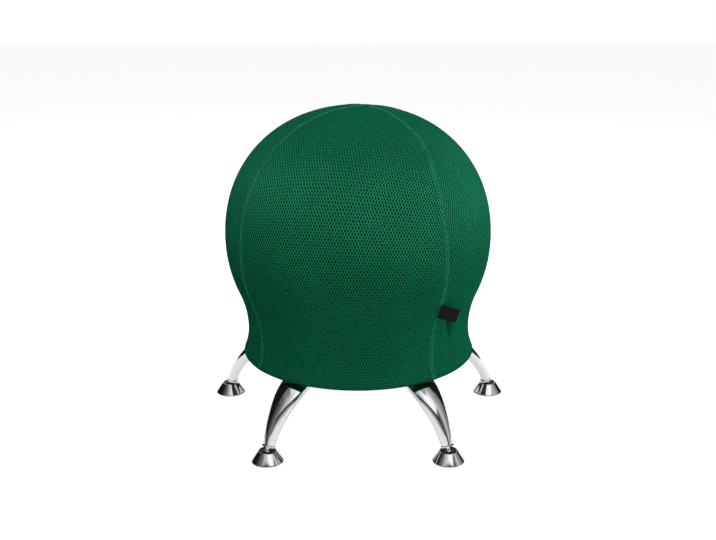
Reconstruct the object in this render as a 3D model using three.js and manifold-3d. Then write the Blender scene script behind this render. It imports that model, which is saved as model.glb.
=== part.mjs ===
// Balance ball chair: an air-filled ball in a sewn mesh cover, on a round seat pan with five arched legs.
// Each leg ends in a bell-shaped glide that tilts and turns on a ball joint, so the bell lies flat on the floor.
// Millimetres, +Z up, front towards -Y. The origin is on the floor, under the middle of the chair's bounding box.
// Azimuths are measured about +Z from the front, so that a piece at azimuth a lies at (sin a, -cos a).

import * as THREE from 'three';
import { mergeVertices } from 'three/addons/utils/BufferGeometryUtils.js';
import Module from 'manifold-3d';

const wasm = await Module();
wasm.setup();

const { degToRad, lerp } = THREE.MathUtils;
const { sin, cos, tan, sqrt, asin, PI } = Math;

// Fits
const touchGap = 0.3; // between pieces that touch
const runningGap = 0.4; // between pieces that turn in one another
const cutOverrun = 1; // how far a cutter passes the faces it cuts

// Layout of the legs
const legPlaces = ['front_right', 'side_right', 'back', 'side_left', 'front_left'];
const legPitch = (2 * PI) / legPlaces.length;
const footCircleRadius = 268; // through the middles of the bells
const legLevelShare = 0.413; // of the foot circle, where the arch has come up to level
const coverNeckShare = 0.765; // of the foot circle, where the cover is narrowest

// Bell glide, with heights measured from the floor or from the bell's lower edge
const bellLift = 0.8; // the floor pad stands out this far below the bell
const bellHeight = 20.2;
const bellRadius = 28.8;
const bellMouthOuterRadius = 15.9;
const bellWall = 1.6;
const bellBand = 1.6; // upright band round the lower edge
const bellRound = 0.6; // rounding of the lower edge and of the mouth
const padRound = 0.5;
const jointRise = 16.2; // from the bell's lower edge to the middle of the ball joint
const jointBallRadius = 6.5;
const neckRadius = 3.2;
const glideTiltLimit = degToRad(22.5); // largest angle between the bell's axis and the stem
const socketMouthMargin = degToRad(2); // beyond what the neck sweeps
const socketShoulderDrop = 2.6; // below the bell's mouth
const socketLipWidth = 2.3;

// Threaded stem and the insert in the leg's foot, measured along the stem from the middle of the ball joint
const collarSeat = 10.2;
const collarThickness = 3;
const collarLip = 0.55; // beyond the sides of the leg's foot
const stemRadius = 3.9;
const stemChamfer = 0.7;
const stemLength = 27;
const stemShoulderInset = 0.8; // the neck runs this far into the collar
const footPlugLength = 16;

// Leg: an oval tube that leans at the foot, arches up to level and runs on under the seat pan
const footLean = degToRad(20.1); // from the vertical
const footWidth = 24.1;
const footThickness = 18.5;
const rootWidth = 57;
const rootThickness = 30;
const rootLean = degToRad(55); // where the taper would end without its ease
const taperEase = 0.3; // share of the taper over which it levels off, to either side of its end
const legWall = 2;
const legInnerEndSpacing = 5.95; // between the end caps of neighbouring legs and where they would meet
const capThickness = 2.5;
const capPlugClearance = 2; // between a cap's plug and the nearer bolt's hole

// Bolts, two to a leg
const boltShares = [0.25, 0.75]; // of the leg's level run, from its inner end
const boltRadius = 4;
const boltHeadRadius = 7.2;
const boltHeadHeight = 4.2;
const boltHeadRound = 1.6;
const boltGrip = 8.5; // into the seat pan
const boltChamfer = 0.8;

// Seat pan: a disc in a moulded rim, whose ledge lies under the disc and whose skirt turns down
const panThickness = 12;
const panRimWall = 5;
const panRimRound = 3;
const panLedgeWidth = 6; // under the disc
const panLedgeThickness = 4;
const panSkirtDepth = 11.7;

// Cover: one smooth outline from the rim, in at the neck, out to the widest line and over the crown
const coverThickness = 3;
const coverRimFlare = 9.6; // rim beyond the neck
const coverSwell = 36.7; // widest line beyond the neck
const coverNeckRise = 46.9; // from the rim's lower edge
const coverWaistRadius = 184.4; // of the hollow arc between the neck and the round of the ball
const coverCrownRise = 232.6; // from the widest line to the top
const crownFullness = 2.14; // exponent of the crown's outline, where 2 would be an ellipse
const seamAzimuth = degToRad(38); // one of the four seams between the gores

// Hem with an elastic cord, turned in under the pan's skirt
const hemHeight = 8.2;
const hemDepth = 9.6;
const hemFabric = 1.6;
const hemChannelDepth = 5.8;
const hemRound = 0.8;

// Ball
const ballWall = 2;
const ballContactRound = 60; // between the flat on the pan and the round of the ball
const valveDepression = degToRad(38); // below the level of the widest line, at the back
const valvePlugRadius = 5;
const valvePlugLength = 14;
const valveHeadRadius = 8;
const valveHeadThickness = 2;

// Label tab, folded and sewn into the front right seam
const tabLength = 36;
const tabHeight = 24;
const tabThickness = 1.2;
const tabRise = 116; // from the rim's lower edge to the lower end of its sewn edge
const tabAzimuth = degToRad(98); // the way it points
const tabDroop = degToRad(15);
const tabStandOff = 0.75; // of its sewn edge from the cover's smooth outline

// Facets
const bodyFacets = 32; // round the ball, cover, pan and hem cord
const ballInnerFacets = 24;
const glideFacets = 20;
const socketFacets = 16;
const stemFacets = 10;
const boltFacets = 8;
const valveFacets = 10;
const ovalFacets = 18;
const ovalInnerFacets = 12;
const cordFacets = 6;

// Heights and places that follow from the sizes above
const frontAzimuth = legPitch / 2;
const jointHeight = bellLift + jointRise;
const bellMouthHeight = bellLift + bellHeight;
const legSeat = collarSeat + collarThickness + touchGap;
const footEndRadius = footCircleRadius - legSeat * sin(footLean);
const footEndHeight = jointHeight + legSeat * cos(footLean);
const arcCentreRadius = footCircleRadius * legLevelShare;
const legArcRadius = (footEndRadius - arcCentreRadius) / cos(footLean);
const arcCentreHeight = footEndHeight - legArcRadius * sin(footLean);
const legLevelHeight = arcCentreHeight + legArcRadius;
const capMeetingRadius = rootWidth / (2 * tan(legPitch / 2));
const legInnerEndRadius = capMeetingRadius + legInnerEndSpacing + capThickness + touchGap;
const boltCircleRadii = boltShares.map((share) => lerp(legInnerEndRadius, arcCentreRadius, share));
const panUnderside = legLevelHeight + rootThickness / 2 + touchGap;
const panTop = panUnderside + panThickness;
const panSkirtBottom = panUnderside - panSkirtDepth;
const rimHeight = panSkirtBottom - touchGap - hemHeight;
const coverNeckRadius = footCircleRadius * coverNeckShare;
const coverRimRadius = coverNeckRadius + coverRimFlare;
const coverRadius = coverNeckRadius + coverSwell;
const waistMiddleRadius = coverNeckRadius + coverWaistRadius;
const widestAboveNeck = sqrt((coverRadius + coverWaistRadius) ** 2 - waistMiddleRadius ** 2);
const waistEnd = asin(widestAboveNeck / (coverRadius + coverWaistRadius));
const flareRadius = (coverRimFlare ** 2 + coverNeckRise ** 2) / (2 * coverRimFlare);
const neckHeight = rimHeight + coverNeckRise;
const ballMiddleHeight = neckHeight + widestAboveNeck;
const ballRadius = coverRadius - coverThickness - touchGap;
const ballCrown = coverCrownRise - coverThickness - touchGap;
const frontReach = Math.max(footCircleRadius * cos(frontAzimuth) + bellRadius, coverRadius);
const backReach = footCircleRadius + bellRadius;

// Materials
const metal = (color, roughness) => new THREE.MeshStandardMaterial({ color, roughness, metalness: 1 });
const matte = (color, roughness) => new THREE.MeshStandardMaterial({ color, roughness, metalness: 0 });
const chrome = metal(0xd9dcde, 0.08);
const zincPlated = metal(0xb4b8bc, 0.35);
const greenMesh = matte(0x1d6b4d, 0.85);
const blackTape = matte(0x111214, 0.8);
const blackNylon = matte(0x17181a, 0.5);
const blackRubber = matte(0x1a1a1b, 0.75);
const panPlastic = matte(0x1d1e20, 0.6);
const greyVinyl = matte(0x8d9296, 0.45);
const plugPlastic = matte(0xe6e6e2, 0.5);

const point = (x, y) => new THREE.Vector2(x, y);
const steps = (count) => Array.from({ length: count + 1 }, (_, i) => i / count);

// Leaves only shared positions, drops faces that closed up on the axis and turns the faces outwards
function closedBody(geometry) {
  const bare = geometry.index ? geometry.clone() : geometry;
  bare.deleteAttribute('normal');
  bare.deleteAttribute('uv');
  const merged = mergeVertices(bare);
  const corners = merged.index.array;
  const kept = [];
  for (let i = 0; i < corners.length; i += 3) {
    const [a, b, c] = corners.slice(i, i + 3);
    if (a !== b && b !== c && c !== a) kept.push(a, b, c);
  }
  if (signedVolume(merged.attributes.position, kept) < 0) kept.reverse();
  merged.setIndex(kept);
  return merged;
}

function signedVolume(position, corners) {
  const a = new THREE.Vector3();
  const b = new THREE.Vector3();
  const c = new THREE.Vector3();
  let volume = 0;
  for (let i = 0; i < corners.length; i += 3) {
    a.fromBufferAttribute(position, corners[i]);
    b.fromBufferAttribute(position, corners[i + 1]);
    c.fromBufferAttribute(position, corners[i + 2]);
    volume += a.dot(b.cross(c)) / 6;
  }
  return volume;
}

// Solid of revolution about +Z from (radius, height) points that start and end on the axis or close on themselves
function revolved(profile, facets, firstAzimuth = 0) {
  const lathe = new THREE.LatheGeometry(profile, facets, firstAzimuth);
  lathe.rotateX(PI / 2);
  return closedBody(lathe);
}

// Skin over rings of equal counts, closed by a flat face on the first and on the last ring
function lofted(rings) {
  const around = rings[0].length;
  const corners = [];
  for (let k = 0; k + 1 < rings.length; k++) {
    for (let i = 0; i < around; i++) {
      const a = k * around + i;
      const b = k * around + ((i + 1) % around);
      corners.push(a, b, b + around, a, b + around, a + around);
    }
  }
  const last = (rings.length - 1) * around;
  for (let i = 1; i + 1 < around; i++) {
    corners.push(0, i + 1, i, last, last + i, last + i + 1);
  }
  const geometry = new THREE.BufferGeometry().setFromPoints(rings.flat());
  geometry.setIndex(corners);
  return closedBody(geometry);
}

function toSolid(geometry) {
  const vertProperties = Float32Array.from(geometry.attributes.position.array);
  const triVerts = Uint32Array.from(geometry.index.array);
  return new wasm.Manifold(new wasm.Mesh({ numProp: 3, vertProperties, triVerts }));
}

function cut(geometry, cutters) {
  const solid = cutters.reduce((left, cutter) => left.subtract(toSolid(cutter)), toSolid(geometry));
  const { vertProperties, triVerts } = solid.getMesh();
  const result = new THREE.BufferGeometry();
  result.setAttribute('position', new THREE.Float32BufferAttribute(vertProperties, 3));
  result.setIndex(Array.from(triVerts));
  return result;
}

// Cylinder along +Z between two heights
function uprightCylinder(radius, low, high, facets) {
  const profile = [point(0, low), point(radius, low), point(radius, high), point(0, high)];
  return revolved(profile, facets);
}

function piece(name, geometry, material) {
  geometry.computeVertexNormals();
  const mesh = new THREE.Mesh(geometry, material);
  mesh.name = name;
  return mesh;
}

// How far the leg's section has grown from the foot's to the root's
function taperShare(lean) {
  const share = (lean - footLean) / (rootLean - footLean);
  const left = Math.max(1 + taperEase - share, 0);
  return share < 1 - taperEase ? share : 1 - left ** 2 / (4 * taperEase);
}

function legSection(lean) {
  const share = taperShare(lean);
  return {
    width: footWidth * (rootWidth / footWidth) ** share,
    thickness: footThickness * (rootThickness / footThickness) ** share,
  };
}

// Stations on the leg's centre line, in the plane of x outwards and z up.
// Each has its place, the direction of its outer side and its section.
function arcStation(lean) {
  const x = arcCentreRadius + legArcRadius * cos(lean);
  const z = arcCentreHeight + legArcRadius * sin(lean);
  return { x, z, lean, ...legSection(lean) };
}

function levelStation(radius) {
  return { x: radius, z: legLevelHeight, lean: PI / 2, ...legSection(PI / 2) };
}

function stemStation(distance, width, thickness) {
  const x = footCircleRadius - distance * sin(footLean);
  const z = jointHeight + distance * cos(footLean);
  return { x, z, lean: footLean, width, thickness };
}

// Oval ring across a station, drawn in by an inset
function ovalRing({ x, z, lean, width, thickness }, inset, facets) {
  return Array.from({ length: facets }, (_, i) => {
    const turn = (2 * PI * i) / facets;
    const outwards = (thickness / 2 - inset) * sin(turn);
    return new THREE.Vector3(
      x + outwards * cos(lean),
      (width / 2 - inset) * cos(turn),
      z + outwards * sin(lean),
    );
  });
}

const taperEndLean = lerp(footLean, rootLean, 1 + taperEase);
const taperLeans = steps(8).map((share) => lerp(footLean, taperEndLean, share));
const levellingLeans = steps(3).slice(1).map((share) => lerp(taperEndLean, PI / 2, share));
const legStations = [...taperLeans, ...levellingLeans].map(arcStation);

// Turn about +Z that carries a leg drawn along +X to its azimuth
function legTurn(number) {
  return frontAzimuth + number * legPitch - PI / 2;
}

// Cutter through the leg or into the pan on the line of one bolt
function boltHole(boltCircleRadius, low, high) {
  const hole = uprightCylinder(boltRadius + touchGap, low, high, boltFacets);
  return hole.translate(boltCircleRadius, 0, 0);
}

function leg(place) {
  const innerEnd = levelStation(legInnerEndRadius);
  const outer = lofted([...legStations, innerEnd].map((station) => ovalRing(station, 0, ovalFacets)));
  // The bore runs past both ends, along the stem's line and along the level run
  const boreStations = [
    stemStation(legSeat - cutOverrun, footWidth, footThickness),
    ...legStations,
    levelStation(legInnerEndRadius - cutOverrun),
  ];
  const bore = lofted(boreStations.map((station) => ovalRing(station, legWall, ovalInnerFacets)));
  const low = legLevelHeight - rootThickness / 2 - cutOverrun;
  const high = legLevelHeight + rootThickness / 2 + cutOverrun;
  const holes = boltCircleRadii.map((radius) => boltHole(radius, low, high));
  return piece(`leg_${place}`, cut(outer, [bore, ...holes]), chrome);
}

// Collar under the leg's foot with a plug up inside the tube, bored for the stem
function footInsert(place) {
  const collarWidth = footWidth + 2 * collarLip;
  const collar = [collarSeat, collarSeat + collarThickness].map((distance) =>
    ovalRing(stemStation(distance, collarWidth, collarWidth), 0, ovalFacets),
  );
  const plugInset = legWall + touchGap;
  const plugFoot = stemStation(collarSeat + collarThickness, footWidth, footThickness);
  const plugArc = (footPlugLength - touchGap) / legArcRadius;
  const plug = [
    plugFoot,
    ...steps(2).map((share) => arcStation(footLean + plugArc * share)),
  ].map((station) => {
    const section = { ...station, width: footWidth, thickness: footThickness };
    return ovalRing(section, plugInset, ovalFacets);
  });
  const bore = uprightCylinder(
    stemRadius + touchGap,
    collarSeat - cutOverrun,
    collarSeat + collarThickness + footPlugLength + cutOverrun,
    stemFacets,
  );
  bore.rotateY(-footLean);
  bore.translate(footCircleRadius, 0, jointHeight);
  return piece(`foot_insert_${place}`, cut(lofted([...collar, ...plug]), [bore]), chrome);
}

function legEndCap(place) {
  const face = levelStation(legInnerEndRadius - touchGap);
  const back = levelStation(legInnerEndRadius - touchGap - capThickness);
  const tip = levelStation(boltCircleRadii[0] - boltRadius - touchGap - capPlugClearance);
  const plugInset = legWall + touchGap;
  const rings = [
    ovalRing(back, 0, ovalInnerFacets),
    ovalRing(face, 0, ovalInnerFacets),
    ovalRing(face, plugInset, ovalInnerFacets),
    ovalRing(tip, plugInset, ovalInnerFacets),
  ];
  return piece(`leg_end_cap_${place}`, lofted(rings), blackNylon);
}

// Button-head bolt, up through the leg into the pan
function legBolt(place, number, boltCircleRadius) {
  const seat = legLevelHeight - rootThickness / 2 - touchGap;
  const under = seat - boltHeadHeight;
  const tip = panUnderside + boltGrip;
  const profile = [
    point(0, under),
    point(boltHeadRadius - boltHeadRound, under),
    point(boltHeadRadius, under + boltHeadRound),
    point(boltHeadRadius, seat),
    point(boltRadius, seat),
    point(boltRadius, tip - boltChamfer),
    point(boltRadius - boltChamfer, tip),
    point(0, tip),
  ];
  const bolt = revolved(profile, boltFacets);
  bolt.translate(boltCircleRadius, 0, 0);
  return piece(`leg_bolt_${place}_${number}`, bolt, zincPlated);
}

// Stem with the ball of the ball joint at its lower end, built along its own axis
function glideStem(place) {
  const neckAngle = asin(neckRadius / jointBallRadius);
  const ballArc = steps(5).map((share) => {
    const angle = lerp(PI, neckAngle, share);
    return point(jointBallRadius * sin(angle), jointBallRadius * cos(angle));
  });
  const shoulder = collarSeat + stemShoulderInset;
  const profile = [
    ...ballArc,
    point(neckRadius, shoulder),
    point(stemRadius, shoulder),
    point(stemRadius, stemLength - stemChamfer),
    point(stemRadius - stemChamfer, stemLength),
    point(0, stemLength),
  ];
  profile[0].x = 0;
  const stem = revolved(profile, stemFacets);
  stem.rotateY(-footLean);
  stem.translate(footCircleRadius, 0, jointHeight);
  return piece(`glide_stem_${place}`, stem, zincPlated);
}

// The bell's straight flank, from the band at its foot up to its mouth, with an inset measured square to it
const flankRun = bellRadius - bellMouthOuterRadius;
const flankRise = bellHeight - bellBand;
const flankStretch = sqrt(flankRun ** 2 + flankRise ** 2) / flankRise;
function flankRadius(height, inset) {
  const share = (height - bellLift - bellBand) / flankRise;
  return bellRadius - flankRun * share - inset * flankStretch;
}

function bell(place) {
  const bandTop = bellLift + bellBand;
  const mouthRadius = flankRadius(bellMouthHeight, bellWall);
  const profile = [
    point(bellRadius - bellWall, bellLift),
    point(bellRadius - bellRound, bellLift),
    point(bellRadius, bellLift + bellRound),
    point(bellRadius, bandTop),
    point(flankRadius(bellMouthHeight - bellRound, 0), bellMouthHeight - bellRound),
    point(bellMouthOuterRadius - bellRound, bellMouthHeight),
    point(mouthRadius, bellMouthHeight),
    point(flankRadius(bandTop, bellWall), bandTop),
    point(bellRadius - bellWall, bellLift),
  ];
  const shell = revolved(profile, glideFacets);
  shell.translate(footCircleRadius, 0, 0);
  return piece(`bell_${place}`, shell, chrome);
}

const padTop = bellLift + bellBand - touchGap;
function floorPad(place) {
  const radius = flankRadius(bellLift + bellBand, bellWall) - touchGap;
  const profile = [
    point(0, 0),
    point(radius - padRound, 0),
    point(radius, padRound),
    point(radius, padTop),
    point(0, padTop),
  ];
  const pad = revolved(profile, glideFacets);
  pad.translate(footCircleRadius, 0, 0);
  return piece(`floor_pad_${place}`, pad, blackRubber);
}

// Nylon socket that fills the bell below its mouth and grips the stem's ball past its widest line
function glideSocket(place) {
  const underside = padTop + touchGap;
  const shoulder = bellMouthHeight - socketShoulderDrop;
  const inset = bellWall + runningGap;
  const cupRadius = jointBallRadius + runningGap;
  const mouthAngle = asin(neckRadius / jointBallRadius) + glideTiltLimit + socketMouthMargin;
  const cup = steps(4).map((share) => {
    const angle = lerp(mouthAngle, PI, share);
    return point(cupRadius * sin(angle), jointHeight + cupRadius * cos(angle));
  });
  cup[cup.length - 1].x = 0;
  const profile = [
    point(0, underside),
    point(flankRadius(underside, inset), underside),
    point(flankRadius(shoulder, inset), shoulder),
    point(cup[0].x + socketLipWidth, cup[0].y),
    ...cup,
  ];
  const socket = revolved(profile, socketFacets);
  socket.translate(footCircleRadius, 0, 0);
  return piece(`glide_socket_${place}`, socket, blackNylon);
}

// Radius of the cover's outline below the neck, drawn in by an inset
function skirtRadius(height, inset) {
  return coverNeckRadius + flareRadius - sqrt((flareRadius + inset) ** 2 - (neckHeight - height) ** 2);
}

// Crown of the cover or of the ball under it, from the top down to the widest line
function crownLine(radius, rise) {
  const power = 2 / crownFullness;
  return steps(8).map((share) => {
    const angle = lerp(PI / 2, 0, share);
    const reach = share === 0 ? 0 : cos(angle) ** power;
    return point(radius * reach, ballMiddleHeight + rise * sin(angle) ** power);
  });
}

// Round below the widest line, down to where the cover leaves the ball
function underLine(radius) {
  return steps(2).slice(1).map((share) => {
    const angle = waistEnd * share;
    return point(radius * cos(angle), ballMiddleHeight - radius * sin(angle));
  });
}

// The cover's outline from the top down to a height in its lower skirt, drawn in by an inset
function coverLine(inset, endHeight) {
  const waist = steps(3).slice(1).map((share) => {
    const angle = waistEnd * (1 - share);
    const radius = coverWaistRadius + inset;
    return point(waistMiddleRadius - radius * cos(angle), neckHeight + radius * sin(angle));
  });
  const skirt = steps(3).slice(1).map((share) => {
    const height = lerp(neckHeight, endHeight, share);
    return point(skirtRadius(height, inset), height);
  });
  return [
    ...crownLine(coverRadius - inset, coverCrownRise - inset),
    ...underLine(coverRadius - inset),
    ...waist,
    ...skirt,
  ];
}

function cover() {
  const hemTop = rimHeight + hemHeight;
  const hemInner = coverRimRadius - hemDepth;
  const channelOuter = hemInner + hemChannelDepth;
  const outside = coverLine(0, rimHeight + hemRound);
  const inside = coverLine(coverThickness, hemTop);
  const hem = [
    point(coverRimRadius - hemRound, rimHeight),
    point(hemInner, rimHeight),
    point(hemInner, rimHeight + hemFabric),
    point(channelOuter, rimHeight + hemFabric),
    point(channelOuter, hemTop - hemFabric),
    point(hemInner, hemTop - hemFabric),
    point(hemInner, hemTop),
  ];
  const profile = [...outside, ...hem, ...inside.reverse()];
  return piece('cover', revolved(profile, bodyFacets, seamAzimuth), greenMesh);
}

function hemCord() {
  const cordRadius = hemHeight / 2 - hemFabric - touchGap;
  const middle = coverRimRadius - hemDepth + hemChannelDepth - touchGap - cordRadius;
  const profile = steps(cordFacets).map((share) => {
    const turn = 2 * PI * share;
    return point(middle + cordRadius * cos(turn), rimHeight + hemHeight / 2 + cordRadius * sin(turn));
  });
  profile[cordFacets].copy(profile[0]);
  return piece('hem_cord', revolved(profile, bodyFacets, seamAzimuth), blackRubber);
}

const panInset = coverThickness + touchGap;
const panRimInner = skirtRadius(panTop, panInset) - panRimWall;
const panRadius = panRimInner - touchGap;

// Rim that follows the inside of the cover
function panRim() {
  const skirtInner = skirtRadius(panSkirtBottom, panInset) - panRimWall;
  const ledgeTop = panUnderside - touchGap;
  const ledgeInner = panRadius - panLedgeWidth;
  const edge = steps(2).map((share) => {
    const height = lerp(panSkirtBottom, panTop - panRimRound, share);
    return point(skirtRadius(height, panInset), height);
  });
  const profile = [
    ...edge,
    point(panRimInner + panRimWall - panRimRound, panTop),
    point(panRimInner, panTop),
    point(panRimInner, ledgeTop),
    point(ledgeInner, ledgeTop),
    point(ledgeInner, ledgeTop - panLedgeThickness),
    point(skirtInner, ledgeTop - panLedgeThickness),
    point(skirtInner, panSkirtBottom),
    point(skirtRadius(panSkirtBottom, panInset), panSkirtBottom),
  ];
  return piece('pan_rim', revolved(profile, bodyFacets, seamAzimuth), panPlastic);
}

function seatPan() {
  const disc = uprightCylinder(panRadius, panUnderside, panTop, bodyFacets);
  const low = panUnderside - cutOverrun;
  const high = panUnderside + boltGrip + touchGap;
  const holes = legPlaces.flatMap((_, i) =>
    boltCircleRadii.map((radius) => boltHole(radius, low, high).rotateZ(legTurn(i))),
  );
  return piece('seat_pan', cut(disc.rotateZ(seamAzimuth), holes), panPlastic);
}

// The ball's outline from the top down to its flat on the pan, drawn in by an inset
function ballLine(inset, count) {
  const radius = ballRadius - inset;
  const round = ballContactRound - inset;
  const flatHeight = panTop + touchGap + inset;
  const roundHeight = flatHeight + round;
  const roundMiddle = sqrt((radius - round) ** 2 - (ballMiddleHeight - roundHeight) ** 2);
  const roundEnd = asin((ballMiddleHeight - roundHeight) / (radius - round));
  const sphere = steps(count).slice(1).map((share) => {
    const angle = lerp(waistEnd, roundEnd, share);
    return point(radius * cos(angle), ballMiddleHeight - radius * sin(angle));
  });
  const contact = steps(2).slice(1).map((share) => {
    const angle = lerp(roundEnd, PI / 2, share);
    return point(roundMiddle + round * cos(angle), roundHeight - round * sin(angle));
  });
  return [
    ...crownLine(radius, ballCrown - inset),
    ...underLine(radius),
    ...sphere,
    ...contact,
    point(0, flatHeight),
  ];
}

// Turns a piece built along +Z on to the valve's line, square to the ball at the back
function ontoValveLine(geometry) {
  geometry.rotateX(-(PI / 2 + valveDepression));
  return geometry.translate(0, 0, ballMiddleHeight);
}

function ball() {
  const outer = revolved(ballLine(0, 3), bodyFacets, seamAzimuth);
  const hollow = revolved(ballLine(ballWall, 3), ballInnerFacets);
  const low = ballRadius - valvePlugLength;
  const valveHole = uprightCylinder(
    valvePlugRadius + touchGap,
    low,
    ballRadius + cutOverrun,
    valveFacets,
  );
  return piece('ball', cut(outer, [hollow, ontoValveLine(valveHole)]), greyVinyl);
}

function valvePlug() {
  const headUnder = ballRadius + touchGap;
  const profile = [
    point(0, ballRadius - valvePlugLength),
    point(valvePlugRadius, ballRadius - valvePlugLength),
    point(valvePlugRadius, headUnder),
    point(valveHeadRadius, headUnder),
    point(valveHeadRadius, headUnder + valveHeadThickness),
    point(0, headUnder + valveHeadThickness),
  ];
  return piece('valve_plug', ontoValveLine(revolved(profile, valveFacets)), plugPlastic);
}

// Flat tab whose sewn edge follows the seam, and which stands off the cover and droops
function labelTab() {
  const lean = asin((tabRise - coverNeckRise) / coverWaistRadius);
  const radius = waistMiddleRadius - coverWaistRadius * cos(lean);
  const outwards = new THREE.Vector3(sin(seamAzimuth), -cos(seamAzimuth), 0);
  const alongSeam = outwards.clone().multiplyScalar(sin(lean));
  alongSeam.z = cos(lean);
  const alongTab = new THREE.Vector3(sin(tabAzimuth), -cos(tabAzimuth), 0);
  alongTab.multiplyScalar(cos(tabDroop));
  alongTab.z = -sin(tabDroop);
  const face = alongTab.clone().cross(alongSeam).normalize();
  const across = face.clone().cross(alongTab);
  const slant = tabHeight * alongSeam.dot(alongTab);
  const rise = tabHeight * alongSeam.dot(across);
  const outline = new THREE.Shape([
    point(0, 0),
    point(tabLength, 0),
    point(tabLength + slant, rise),
    point(slant, rise),
  ]);
  const tab = new THREE.ExtrudeGeometry(outline, { depth: tabThickness, bevelEnabled: false });
  const foot = outwards.multiplyScalar(radius + tabStandOff);
  foot.z = rimHeight + tabRise;
  const frame = new THREE.Matrix4().makeBasis(alongTab, across, face).setPosition(foot);
  return piece('label_tab', closedBody(tab.applyMatrix4(frame)), blackTape);
}

function legAssembly(place, number) {
  const group = new THREE.Group();
  group.add(leg(place), footInsert(place), legEndCap(place), glideStem(place));
  boltCircleRadii.forEach((radius, i) => group.add(legBolt(place, i + 1, radius)));
  group.add(glideSocket(place), bell(place), floorPad(place));
  group.rotation.z = legTurn(number);
  return group;
}

const chair = new THREE.Group();
chair.add(cover(), hemCord(), labelTab(), ball(), valvePlug(), seatPan(), panRim());
legPlaces.forEach((place, number) => chair.add(legAssembly(place, number)));
chair.position.y = -(backReach - frontReach) / 2;

const model = new THREE.Group();
model.add(chair);

export default model;
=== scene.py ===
# Balance ball chair: an air-filled ball in a sewn mesh cover, on a pan with five arched chrome legs.
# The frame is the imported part's: metres, +Z up, front towards -Y, floor at height 0.
# Sizes are in millimetres, brought to metres by MM where a mesh is made.
# A piece at azimuth a lies at (sin a, -cos a) from the chair's upright axis.

from bisect import bisect_right
from math import acos, asin, atan2, cos, degrees, exp, hypot, pi, radians, sin, sqrt, tan

import bmesh
import bpy
from mathutils import Matrix, Vector

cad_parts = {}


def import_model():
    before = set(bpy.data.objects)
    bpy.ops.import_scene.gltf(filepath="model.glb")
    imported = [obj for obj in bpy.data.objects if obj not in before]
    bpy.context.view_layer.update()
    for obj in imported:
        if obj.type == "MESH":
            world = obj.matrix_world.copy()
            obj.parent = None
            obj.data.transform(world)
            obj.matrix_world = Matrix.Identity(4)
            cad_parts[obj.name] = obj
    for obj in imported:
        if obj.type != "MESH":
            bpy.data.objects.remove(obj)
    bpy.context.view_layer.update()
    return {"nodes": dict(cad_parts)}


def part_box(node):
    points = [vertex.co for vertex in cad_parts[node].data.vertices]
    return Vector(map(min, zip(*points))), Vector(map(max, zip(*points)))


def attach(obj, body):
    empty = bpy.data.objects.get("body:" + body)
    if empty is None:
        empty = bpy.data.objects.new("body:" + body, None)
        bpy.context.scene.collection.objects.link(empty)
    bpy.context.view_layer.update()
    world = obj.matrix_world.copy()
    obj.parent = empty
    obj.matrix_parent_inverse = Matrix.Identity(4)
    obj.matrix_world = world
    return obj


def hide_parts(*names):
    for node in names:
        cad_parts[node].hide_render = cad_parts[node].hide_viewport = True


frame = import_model()

MM = 0.001
cover_low, cover_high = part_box("cover")
AXIS = (cover_low + cover_high) / 2
AXIS.z = 0

# Fits
TOUCH_GAP = 0.3
RUNNING_GAP = 0.4

# Legs and where they stand
PLACES = ("front_right", "side_right", "back", "side_left", "front_left")
LEG_PITCH = radians(72)
FOOT_CIRCLE = 268.0
LEVEL_SHARE = 0.413
FOOT_LEAN = radians(20.1)
FOOT_WIDTH, FOOT_THICKNESS = 24.1, 18.5
ROOT_WIDTH, ROOT_THICKNESS = 57.0, 30.0
ROOT_LEAN = radians(55)
TAPER_EASE = 0.3
LEG_WALL = 2.0
LEG_LIP = 0.35
LEG_RINGS = 56
CAP_SPACING = 5.95
CAP_THICKNESS = 2.5
CAP_PLUG_CLEARANCE = 2.0

# Glides, with distances along the stem measured from the middle of the ball joint
JOINT_HEIGHT = 17.0
JOINT_BALL_RADIUS = 6.5
STEM_NECK_RADIUS = 3.2
STEM_RADIUS = 3.9
STEM_LENGTH = 27.0
COLLAR_SEAT = 10.2
LEG_SEAT = 13.5
PLUG_END = 28.0
SOCKET_MOUTH = radians(54)
BELL_BASE = 0.8

# Arc of the legs, the level run that follows it and the bolts there
ARC_CENTRE = LEVEL_SHARE * FOOT_CIRCLE
ARC_RADIUS = (FOOT_CIRCLE - LEG_SEAT * sin(FOOT_LEAN) - ARC_CENTRE) / cos(FOOT_LEAN)
ARC_HEIGHT = JOINT_HEIGHT + LEG_SEAT * cos(FOOT_LEAN) - ARC_RADIUS * sin(FOOT_LEAN)
LEVEL_HEIGHT = ARC_HEIGHT + ARC_RADIUS
LEG_INNER_END = ROOT_WIDTH / (2 * tan(LEG_PITCH / 2)) + CAP_SPACING + CAP_THICKNESS + TOUCH_GAP
BOLT_SHARES = (0.25, 0.75)
BOLT_CIRCLES = [LEG_INNER_END + share * (ARC_CENTRE - LEG_INNER_END) for share in BOLT_SHARES]
BOLT_RADIUS = 4.0
BOLT_HEAD_RADIUS = 7.2
BOLT_HEAD_HEIGHT = 4.2
BOLT_GRIP = 8.5

# Seat pan, whose heights follow from the legs
PAN_THICKNESS = 12.0
PAN_UNDERSIDE = LEVEL_HEIGHT + ROOT_THICKNESS / 2 + TOUCH_GAP
PAN_TOP = PAN_UNDERSIDE + PAN_THICKNESS
PAN_RIM_WALL = 5.0
PAN_LEDGE_WIDTH = 6.0
PAN_LEDGE_THICKNESS = 4.0
PAN_SKIRT_DEPTH = 11.7
PAN_ROUND = 0.8
SKIRT_BOTTOM = PAN_UNDERSIDE - PAN_SKIRT_DEPTH

# Hem with its elastic cord
HEM_HEIGHT = 8.2
HEM_CHANNEL = 5.8
HEM_FABRIC = 1.6
HEM_CORNER = 1.0
CORD_RADIUS = 2.2
BRAID_WAVES, BRAID_STRANDS = 420, 4

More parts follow.
